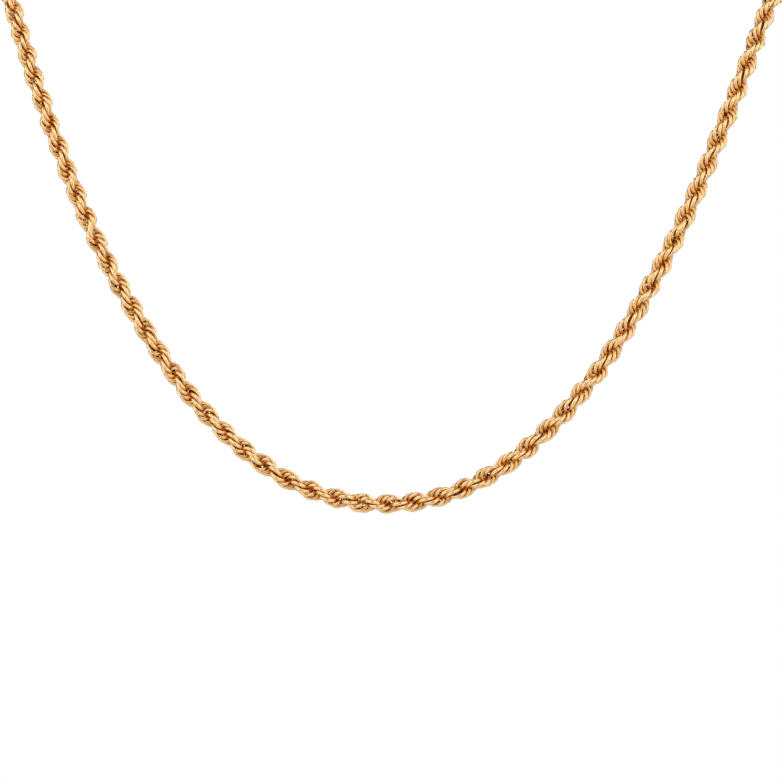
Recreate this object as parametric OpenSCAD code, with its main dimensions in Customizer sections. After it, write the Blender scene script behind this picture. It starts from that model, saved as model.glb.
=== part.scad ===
// Rope chain necklace with a barrel clasp at the nape, in the shape that it takes on a neck.
// Millimetres. +Z is up, +X is to the viewer's right and +Y is towards the nape.
// The origin is the middle of the neck, at the height where the chain leaves the neck's sides.

/* [Chain] */
// Outer diameter of the twisted rope of links
chain_d = 3; // [2.6:0.1:3.6]
// Straight run of chain outside each mouth of the clasp
chain_lead = 8; // [6:0.5:10]

/* [Clasp] */
// Length of the barrel clasp from mouth to mouth
clasp_len = 14; // [12:0.5:17]
// Metal around the chain end at each mouth
mouth_wall = 0.65; // [0.4:0.05:1]
// Height by which the barrel stands proud of the mouths
barrel_rise = 0.35; // [0.2:0.05:0.6]
// Length of the bare tube between each collar and the barrel
neck_len = 0.9; // [0.5:0.1:1.4]
// Width of the rolled collar round each mouth
collar_w = 1.2; // [0.8:0.1:1.6]
// Length over which each end of the barrel tapers down to its neck
shoulder_len = 1.4; // [0.8:0.1:2]
// Width of the groove where the two halves of the barrel meet
seam_w = 0.4; // [0.2:0.1:0.8]
// Depth of that groove
seam_depth = 0.2; // [0.1:0.05:0.3]
// Depth to which each chain end goes into its mouth
socket_depth = 3; // [2:0.5:4]

/* [Fit] */
// Clearance between a chain end and the wall and floor of its socket
fit_gap = 0.1; // [0.05:0.05:0.2]

/* [Hidden] */

// Middle of the clasp, at the back of the neck
nape = [0, 46, 14];

// Points that the chain's middle line follows, over the left shoulder, down to the lowest
// point at the front and back up on the right. The line runs just inside them.
route = [
    [-26, 44, 14], [-36, 39.5, 14], [-45, 33, 13.5], [-52, 24.5, 12], [-57, 15, 9.5], [-60, 5, 6.5],
    [-61, -5.5, 2.5], [-60.5, -15.5, -2.5], [-59.3, -25, -9], [-56.4, -32.5, -17],
    [-53.6, -37, -26.5], [-50.3, -39.5, -35.4], [-46.8, -41.5, -44.9], [-42.6, -43.5, -54.5],
    [-37.2, -45.5, -64.1], [-31.4, -47, -73.4], [-23.9, -48.5, -81.9], [-14.9, -49.5, -88.8],
    [-5, -50, -92.1], [5.5, -50, -92], [15, -49.5, -88.5], [23.9, -48.5, -81.4],
    [31.1, -47, -73.2], [37, -45.5, -64], [42.2, -43.5, -54.6], [46.7, -41.5, -44.9],
    [50.6, -39.5, -35.3], [54.2, -37, -26.4], [57.8, -32.5, -17], [61.5, -25, -9],
    [63, -15.5, -2.5], [63.5, -5.5, 2.5], [62.5, 5, 6.5], [59.5, 15, 9.5], [54, 24.5, 12],
    [46, 33, 13.5], [36.5, 39.5, 14], [26, 44, 14]
];

// Sides of the chain's tube, and its rings between one route point and the next
tube_sides = 8;
rings_per_span = 2;

// Direction square to the plane that the whole loop lies near
loop_normal = [0, -0.74, 0.67];

// Sides of the clasp's round surfaces
round_fn = 64;

// Sizes of the clasp that follow from those above
socket_r = chain_d / 2 + fit_gap;
neck_r = socket_r + mouth_wall;
barrel_r = neck_r + barrel_rise;
collar_r = collar_w / 2;
barrel_half = clasp_len / 2 - collar_w - neck_len;

// The route with the two points at each end that the clasp sets: the chain ends a
// clearance short of its socket's floor and leaves the clasp straight
end_x = clasp_len / 2 - socket_depth + fit_gap;
lead_x = clasp_len / 2 + chain_lead;
line = concat(
    [nape + [-end_x, 0, 0], nape + [-lead_x, 0, 0]],
    route,
    [nape + [lead_x, 0, 0], nape + [end_x, 0, 0]]
);
spans = len(line) - 1;

// The line's point before the first or after the last mirrors its neighbour, so that
// the curve starts and ends on the clasp's axis
function knot(i) =
    i < 0 ? 2 * line[0] - line[1] :
    i > spans ? 2 * line[spans] - line[spans - 1] :
    line[i];

// Place and direction on the cubic curve, u from 0 to 1 within span i
function curve_at(i, u) =
    (pow(1 - u, 3) * knot(i - 1)
    + (3 * pow(u, 3) - 6 * pow(u, 2) + 4) * knot(i)
    + (-3 * pow(u, 3) + 3 * pow(u, 2) + 3 * u + 1) * knot(i + 1)
    + pow(u, 3) * knot(i + 2)) / 6;

function heading_at(i, u) =
    unit(-pow(1 - u, 2) * knot(i - 1)
    + (3 * pow(u, 2) - 4 * u) * knot(i)
    + (-3 * pow(u, 2) + 2 * u + 1) * knot(i + 1)
    + pow(u, 2) * knot(i + 2));

function unit(v) = v / norm(v);

// One ring of the tube: a regular polygon square to the curve
function ring(i, u) =
    let (
        middle = curve_at(i, u),
        heading = heading_at(i, u),
        across = unit(cross(heading, loop_normal)),
        up = cross(across, heading)
    )
    [for (k = [0 : tube_sides - 1])
        let (angle = 360 * (k + 0.5) / tube_sides)
        middle + chain_d / 2 * (cos(angle) * across + sin(angle) * up)];

// The rope as one tube of its outer diameter
module rope_chain() {
    ring_count = spans * rings_per_span + 1;
    rings = [
        for (n = [0 : ring_count - 1])
            let (i = min(floor(n / rings_per_span), spans - 1))
            ring(i, n / rings_per_span - i)
    ];
    last = (ring_count - 1) * tube_sides;
    walls = [
        for (n = [0 : ring_count - 2], k = [0 : tube_sides - 1])
            let (
                a = n * tube_sides + k,
                b = n * tube_sides + (k + 1) % tube_sides
            )
            [a, b, b + tube_sides, a + tube_sides]
    ];
    near_cap = [for (k = [tube_sides - 1 : -1 : 0]) k];
    far_cap = [for (k = [0 : tube_sides - 1]) last + k];
    color("gold")
        polyhedron([for (r = rings) each r], concat(walls, [near_cap, far_cap]));
}

// Half of the clasp's outline, from the seam at 0 to the mouth: radius across, length up
module clasp_outline() {
    polygon([
        [0, 0], [barrel_r, 0],
        [barrel_r, barrel_half - shoulder_len], [neck_r, barrel_half],
        [neck_r, clasp_len / 2], [0, clasp_len / 2]
    ]);
    // The rolled collar bulges past the neck by half of the barrel's rise
    translate([neck_r - collar_r + barrel_rise / 2, clasp_len / 2 - collar_r])
        circle(collar_r, $fn = round_fn);
}

// Two half barrels screwed together, with a collared socket at each end, along X
module barrel_clasp() {
    color("goldenrod")
    translate(nape)
    rotate([0, 90, 0])
    difference() {
        for (end = [0, 1])
            mirror([0, 0, end])
                rotate_extrude($fn = round_fn)
                    clasp_outline();
        for (end = [0, 1])
            mirror([0, 0, end])
                translate([0, 0, clasp_len / 2 - socket_depth])
                    cylinder(h = socket_depth + fit_gap, r = socket_r, $fn = round_fn);
        difference() {
            cylinder(h = seam_w, r = barrel_r + fit_gap, center = true, $fn = round_fn);
            cylinder(h = 2 * seam_w, r = barrel_r - seam_depth, center = true, $fn = round_fn);
        }
    }
}

rope_chain();
barrel_clasp();
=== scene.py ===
import random
from bisect import bisect_right
from math import cos, hypot, pi, radians, sin

import bmesh
import bpy
from mathutils import Matrix, Vector


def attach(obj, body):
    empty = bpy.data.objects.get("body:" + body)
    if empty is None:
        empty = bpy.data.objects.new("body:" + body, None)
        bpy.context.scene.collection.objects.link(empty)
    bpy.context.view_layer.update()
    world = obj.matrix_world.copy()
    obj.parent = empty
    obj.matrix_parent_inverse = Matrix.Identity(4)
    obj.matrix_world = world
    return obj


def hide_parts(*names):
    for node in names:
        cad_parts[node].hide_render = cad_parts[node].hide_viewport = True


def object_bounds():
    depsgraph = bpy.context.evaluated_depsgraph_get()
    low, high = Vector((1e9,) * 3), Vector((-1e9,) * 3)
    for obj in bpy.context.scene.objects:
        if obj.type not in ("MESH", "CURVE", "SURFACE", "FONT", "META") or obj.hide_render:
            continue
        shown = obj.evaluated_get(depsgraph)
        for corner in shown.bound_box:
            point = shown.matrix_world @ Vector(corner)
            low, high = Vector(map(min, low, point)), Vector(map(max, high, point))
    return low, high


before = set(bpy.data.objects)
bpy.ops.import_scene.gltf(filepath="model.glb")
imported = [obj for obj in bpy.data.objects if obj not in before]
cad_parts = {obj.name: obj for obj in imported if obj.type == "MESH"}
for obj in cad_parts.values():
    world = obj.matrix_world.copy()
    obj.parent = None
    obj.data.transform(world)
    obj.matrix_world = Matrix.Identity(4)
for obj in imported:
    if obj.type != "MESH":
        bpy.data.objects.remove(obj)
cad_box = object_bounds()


# The chain's line
#
# The chain hangs in the shape that it takes on a neck: from the left mouth of the clasp
# at the nape, over the left shoulder, down to the lowest point of the front and back up
# on the right. The rope_chain solid follows the same line, and the links are strung on it.

MM = 0.001
nape = Vector((0, 46, 14)) * MM
clasp_len = 14 * MM
socket_depth = 3 * MM
fit_gap = 0.1 * MM
chain_lead = 8 * MM

route = [
    (-26, 44, 14), (-36, 39.5, 14), (-45, 33, 13.5), (-52, 24.5, 12), (-57, 15, 9.5),
    (-60, 5, 6.5), (-61, -5.5, 2.5), (-60.5, -15.5, -2.5), (-59.3, -25, -9), (-56.4, -32.5, -17),
    (-53.6, -37, -26.5), (-50.3, -39.5, -35.4), (-46.8, -41.5, -44.9), (-42.6, -43.5, -54.5),
    (-37.2, -45.5, -64.1), (-31.4, -47, -73.4), (-23.9, -48.5, -81.9), (-14.9, -49.5, -88.8),
    (-5, -50, -92.1), (5.5, -50, -92), (15, -49.5, -88.5), (23.9, -48.5, -81.4),
    (31.1, -47, -73.2), (37, -45.5, -64), (42.2, -43.5, -54.6), (46.7, -41.5, -44.9),
    (50.6, -39.5, -35.3), (54.2, -37, -26.4), (57.8, -32.5, -17), (61.5, -25, -9),
    (63, -15.5, -2.5), (63.5, -5.5, 2.5), (62.5, 5, 6.5), (59.5, 15, 9.5), (54, 24.5, 12),
    (46, 33, 13.5), (36.5, 39.5, 14), (26, 44, 14),
]

# The chain ends a clearance short of each socket's floor and leaves the clasp straight
end_x = Vector((clasp_len / 2 - socket_depth + fit_gap, 0, 0))
lead_x = Vector((clasp_len / 2 + chain_lead, 0, 0))
line = [
    nape - end_x, nape - lead_x,
    *[Vector(point) * MM for point in route],
    nape + lead_x, nape + end_x,
]
line = [2 * line[0] - line[1], *line, 2 * line[-1] - line[-2]]


def chain_place(span, u):
    """Place and heading on the cubic curve, u from 0 to 1 within a span of the line."""
    a, b, c, d = line[span:span + 4]
    place = (
        (1 - u) ** 3 * a
        + (3 * u ** 3 - 6 * u ** 2 + 4) * b
        + (-3 * u ** 3 + 3 * u ** 2 + 3 * u + 1) * c
        + u ** 3 * d
    ) / 6
    heading = (
        -(1 - u) ** 2 * a
        + (3 * u ** 2 - 4 * u) * b
        + (-3 * u ** 2 + 2 * u + 1) * c
        + u ** 2 * d
    )
    return place, heading.normalized()


# Closely spaced marks along the line, and how much chain lies before each
spans = len(line) - 3
steps = 24
marks = [chain_place(n // steps, n % steps / steps) for n in range(spans * steps)]
marks.append(chain_place(spans - 1, 1))
reach = [0]
for (here, _), (there, _) in zip(marks, marks[1:]):
    reach.append(reach[-1] + (there - here).length)


def at_length(run):
    """Place and heading at a length along the chain from its left end."""
    n = min(bisect_right(reach, run), len(reach) - 1)
    share = (run - reach[n - 1]) / (reach[n] - reach[n - 1])
    (here, heading), (there, onward) = marks[n - 1], marks[n]
    return here.lerp(there, share), heading.lerp(onward, share).normalized()


# One link
#
# The real link is a ring of round gold wire with a gap about as wide as the wire, through
# which its neighbours are threaded. The wire is wound on a mandrel and sawn into rings,
# and the sawn ends are left square.

rope_d = 3 * MM
wire_d = 0.60 * MM
link_stretch = 1.04
link_sides = 14
wire_sides = 6
sharpest_smooth = radians(75)

bpy.ops.object.select_all(action="DESELECT")
bpy.ops.mesh.primitive_torus_add(
    major_segments=link_sides, minor_segments=wire_sides,
    major_radius=(rope_d - wire_d) / 2, minor_radius=wire_d / 2,
)
link = bpy.context.object
link.name = "link"
bpy.ops.object.mode_set(mode="EDIT")

# The ring is sawn open at its far side, and the sawn ends are closed
bpy.ops.mesh.select_mode(type="FACE")
bpy.ops.mesh.select_all(action="DESELECT")
shape = bmesh.from_edit_mesh(link.data)
for face in shape.faces:
    middle = face.calc_center_median()
    face.select_set(middle.y > 0 and abs(middle.x) < wire_d / 2)
bmesh.update_edit_mesh(link.data)
bpy.ops.mesh.delete(type="FACE")
bpy.ops.mesh.select_all(action="SELECT")
bpy.ops.mesh.fill_holes(sides=wire_sides)

# It is a touch longer towards its gap than across
bpy.ops.mesh.select_all(action="SELECT")
bpy.ops.transform.resize(value=(1, link_stretch, 1))
bpy.ops.mesh.normals_make_consistent(inside=False)
bpy.ops.object.mode_set(mode="OBJECT")
bpy.ops.object.shade_smooth_by_angle(angle=sharpest_smooth)

# How deep each spot lies in the finished rope, from 0 outside to 1 on its middle line.
# The gold's colour is darkened by it as painted shade between the links
depth = link.data.attributes.new("depth", "FLOAT", "POINT")
for n, vertex in enumerate(link.data.vertices):
    depth.data[n].value = max(0, 1 - hypot(vertex.co.x, vertex.co.z) / (rope_d / 2))


# The rope
#
# The real rope is polished gold links, each threaded through the ones before it with its
# gap at the other end and turned a little further round, so that their sides wind round
# each other as two strands. It is wound a little looser over the right shoulder.

lobe_pitch = 3.87 * MM
loose_pitch = 4.29 * MM
loose_from = 284 * MM
links_per_lobe = 5.77
link_pitch = lobe_pitch / links_per_lobe
end_room = rope_d / 2
loop_normal = Vector((0, -0.74, 0.67))
first_turn = radians(-16)
link_lean = radians(86)
link_shift = 0.03 * MM
link_tilt = radians(4)

slack = random.Random(7)
links = []
run = end_room
while run < reach[-1] - end_room:
    place, heading = at_length(run)
    across = heading.cross(loop_normal).normalized()
    up = across.cross(heading)

    # The rope turns half round from one lobe to the next
    turn = first_turn + pi * min(run, loose_from) / lobe_pitch
    turn += pi * max(0, run - loose_from) / loose_pitch
    outward = cos(turn) * up + sin(turn) * across
    sideways = heading.cross(outward)
    along = cos(link_lean) * sideways - sin(link_lean) * heading
    if len(links) % 2:
        along = -along
    face_on = outward.cross(along)
    stance = Matrix((outward, along, face_on)).transposed().to_4x4()
    stance.translation = place

    # No link lies quite as the next one does
    settle = (
        Matrix.Translation(Vector(slack.gauss(0, link_shift) for _ in range(3)))
        @ Matrix.Rotation(slack.gauss(0, link_tilt), 4, "X")
        @ Matrix.Rotation(slack.gauss(0, link_tilt), 4, "Y")
    )
    threaded = link.copy()
    threaded.data = link.data.copy()
    threaded.data.transform(stance @ settle)
    bpy.context.collection.objects.link(threaded)
    links.append(threaded)
    run += link_pitch

bpy.data.objects.remove(link)
bpy.ops.object.select_all(action="DESELECT")
for threaded in links:
    threaded.select_set(True)
bpy.context.view_layer.objects.active = links[0]
bpy.ops.object.join()
rope = bpy.context.object
rope.name = "rope_links"


class Finish:
    """One socket of a finish. Sums written with it add their Math nodes."""

    def __init__(self, tree, socket=None):
        self.tree, self.socket = tree, socket

    def node(self, kind, settings=None, sockets=None, out=0):
        """A new node, its settings made and its sockets set or linked."""
        made = self.tree.nodes.new(kind)
        for name, value in (settings or {}).items():
            setattr(made, name, value)
        for name, value in (sockets or {}).items():
            if isinstance(value, Finish):
                self.tree.links.new(value.socket, made.inputs[name])
            else:
                made.inputs[name].default_value = value
        return Finish(self.tree, made.outputs[out] if made.outputs else None)

    def maths(self, operation, *values):
        return self.node("ShaderNodeMath", {"operation": operation}, dict(enumerate(values)))

    def __add__(self, other):
        return self.maths("ADD", self, other)

    def __mul__(self, other):
        return self.maths("MULTIPLY", self, other)

    def __pow__(self, other):
        return self.maths("POWER", self, other)

    __radd__, __rmul__ = __add__, __mul__


def new_finish(name):
    """An empty material and its first Finish, from which its nodes are made."""
    material = bpy.data.materials.new(name)
    material.use_nodes = True
    material.node_tree.nodes.clear()
    return material, Finish(material.node_tree)


def noise(places, scale, detail):
    """Soft noise at the places given. A scale of three numbers stretches it."""
    if isinstance(scale, tuple):
        places = places.node("ShaderNodeMapping", sockets={"Vector": places, "Scale": scale})
        scale = 1
    return places.node(
        "ShaderNodeTexNoise", sockets={"Vector": places, "Scale": scale, "Detail": detail}
    )


def mixed(share, first, second):
    """A colour that goes from the first to the second as share goes from 0 to 1."""
    return share.node(
        "ShaderNodeMix", {"data_type": "RGBA"}, {0: share, 6: first, 7: second}, out=2
    )


def metal(colour, roughness, height, bump_strength, bump_depth):
    """The shader of a bare metal, put out as its material's surface."""
    bump = height.node(
        "ShaderNodeBump",
        sockets={"Strength": bump_strength, "Distance": bump_depth, "Height": height},
    )
    shader = height.node(
        "ShaderNodeBsdfPrincipled",
        sockets={"Base Color": colour, "Metallic": 1, "Roughness": roughness, "Normal": bump},
    )
    height.node("ShaderNodeOutputMaterial", sockets={"Surface": shader})


# Polished gold of a faintly uneven colour, with painted shade that darkens it between the links,
# rougher there, and with the fine lines that drawing the wire left along it
outer_gold = (0.96, 0.69, 0.34, 1)
rosy_gold = (0.96, 0.64, 0.36, 1)
# The dark colour deep between the links is painted shade, not the gold's own colour
painted_shade_gold = (0.58, 0.24, 0.01, 1)
buffed_roughness = 0.09
drawn_roughness = 0.06
recess_roughness = 0.12
painted_shade_fade = 0.7

wire_gold, start = new_finish("wire_gold")
places = start.node("ShaderNodeTexCoord", out="Object")
round_the_wire = start.node("ShaderNodeUVMap", {"uv_map": "UVMap"})
recess = start.node("ShaderNodeAttribute", {"attribute_name": "depth"}, out="Fac")
cloud = noise(places, scale=220, detail=2)
drawn_lines = noise(round_the_wire, scale=(6, 40, 1), detail=3)
polished = mixed(cloud, outer_gold, rosy_gold)
# The colour darkens with depth into the rope as painted shade, and the roughness rises there too
metal(
    colour=mixed(recess ** painted_shade_fade, polished, painted_shade_gold),
    roughness=buffed_roughness + drawn_roughness * drawn_lines + recess_roughness * recess,
    height=drawn_lines, bump_strength=0.25, bump_depth=0.02 * MM,
)
rope.data.materials.clear()
rope.data.materials.append(wire_gold)

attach(rope, "root")
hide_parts("rope_chain")


# The clasp
#
# The real piece is a barrel clasp of polished gold: two half barrels that screw together,
# each with a rolled collar round the mouth that holds a chain end. It is turned on a
# lathe, which leaves fine rings round it, and buffed.

turned_roughness = 0.22
ring_roughness = 0.1
cloud_roughness = 0.08

turned_gold, start = new_finish("turned_gold")
places = start.node("ShaderNodeTexCoord", out="Object")
rings = noise(places, scale=(9000, 300, 300), detail=2)
cloud = noise(places, scale=260, detail=3)
metal(
    colour=mixed(cloud, outer_gold, rosy_gold),
    roughness=turned_roughness + ring_roughness * rings + cloud_roughness * cloud,
    height=rings, bump_strength=0.12, bump_depth=0.01 * MM,
)
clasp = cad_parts["barrel_clasp"]
clasp.data.materials.clear()
clasp.data.materials.append(turned_gold)


# The studio
#
# The necklace is held up at the neck, above a pale floor, and the camera looks straight at
# its front, against plain white. Two large soft lights stand to the left and right of the
# camera, with weaker ones above and behind.

floor_drop = 100 * MM
floor_size = 1.1
floor_white = (0.9, 0.9, 0.9, 1)
floor_roughness = 0.8

bpy.ops.object.select_all(action="DESELECT")
bpy.ops.mesh.primitive_plane_add(size=floor_size, location=(0, 0, cad_box[0].z - floor_drop))
floor = bpy.context.object
floor.name = "floor"
pale, start = new_finish("pale_floor")
shader = start.node(
    "ShaderNodeBsdfPrincipled",
    sockets={"Base Color": floor_white, "Roughness": floor_roughness},
)
start.node("ShaderNodeOutputMaterial", sockets={"Surface": shader})
floor.data.materials.append(pale)

# The room is plain white to the camera and lights the necklace softly from all round
white = (1, 1, 1, 1)
seen_strength = 1
soft_strength = 0.20

world = bpy.data.worlds.new("white_room")
world.use_nodes = True
world.node_tree.nodes.clear()
start = Finish(world.node_tree)
seen = start.node("ShaderNodeLightPath", out="Is Camera Ray")
plain = start.node("ShaderNodeBackground", sockets={"Color": white, "Strength": seen_strength})
soft = start.node("ShaderNodeBackground", sockets={"Color": white, "Strength": soft_strength})
room = start.node("ShaderNodeMixShader", sockets={0: seen, 1: soft, 2: plain})
start.node("ShaderNodeOutputWorld", sockets={"Surface": room})
bpy.context.scene.world = world

# Each light's name, its place and width in metres, and its watts
lights = [
    ("left_light", (-0.8, -0.5, 0.35), 1.9, 14),
    ("right_light", (0.8, -0.5, 0.3), 1.9, 14),
    ("top_light", (0.0, 0.0, 0.9), 1.0, 1),
    ("back_light", (0.3, 0.9, 0.4), 1.2, 6),
]
middle = (cad_box[0] + cad_box[1]) / 2
for name, spot, width, watts in lights:
    lamp = bpy.data.lights.new(name, "AREA")
    lamp.size, lamp.energy = width, watts
    lamp_object = bpy.data.objects.new(name, lamp)
    bpy.context.collection.objects.link(lamp_object)
    lamp_object.location = spot
    lamp_object.rotation_euler = (middle - Vector(spot)).to_track_quat("-Z", "Y").to_euler()

# The chain's lowest point falls where the photograph shows it, and at the same scale
photo_px = 782
mm_per_px = 0.1485
low_px = (386.4, 504.8)
low_point = Vector((0, -50, -92)) * MM
camera_distance = 900 * MM

camera = bpy.data.cameras.new("camera")
camera.lens = camera.sensor_width * camera_distance / (photo_px * mm_per_px * MM)
camera_object = bpy.data.objects.new("camera", camera)
bpy.context.collection.objects.link(camera_object)
camera_object.location = low_point + Vector((
    (photo_px / 2 - low_px[0]) * mm_per_px * MM,
    -camera_distance,
    (low_px[1] - photo_px / 2) * mm_per_px * MM,
))
camera_object.rotation_euler = (pi / 2, 0, 0)
bpy.context.scene.camera = camera_object
bpy.context.scene.view_settings.view_transform = "Standard"
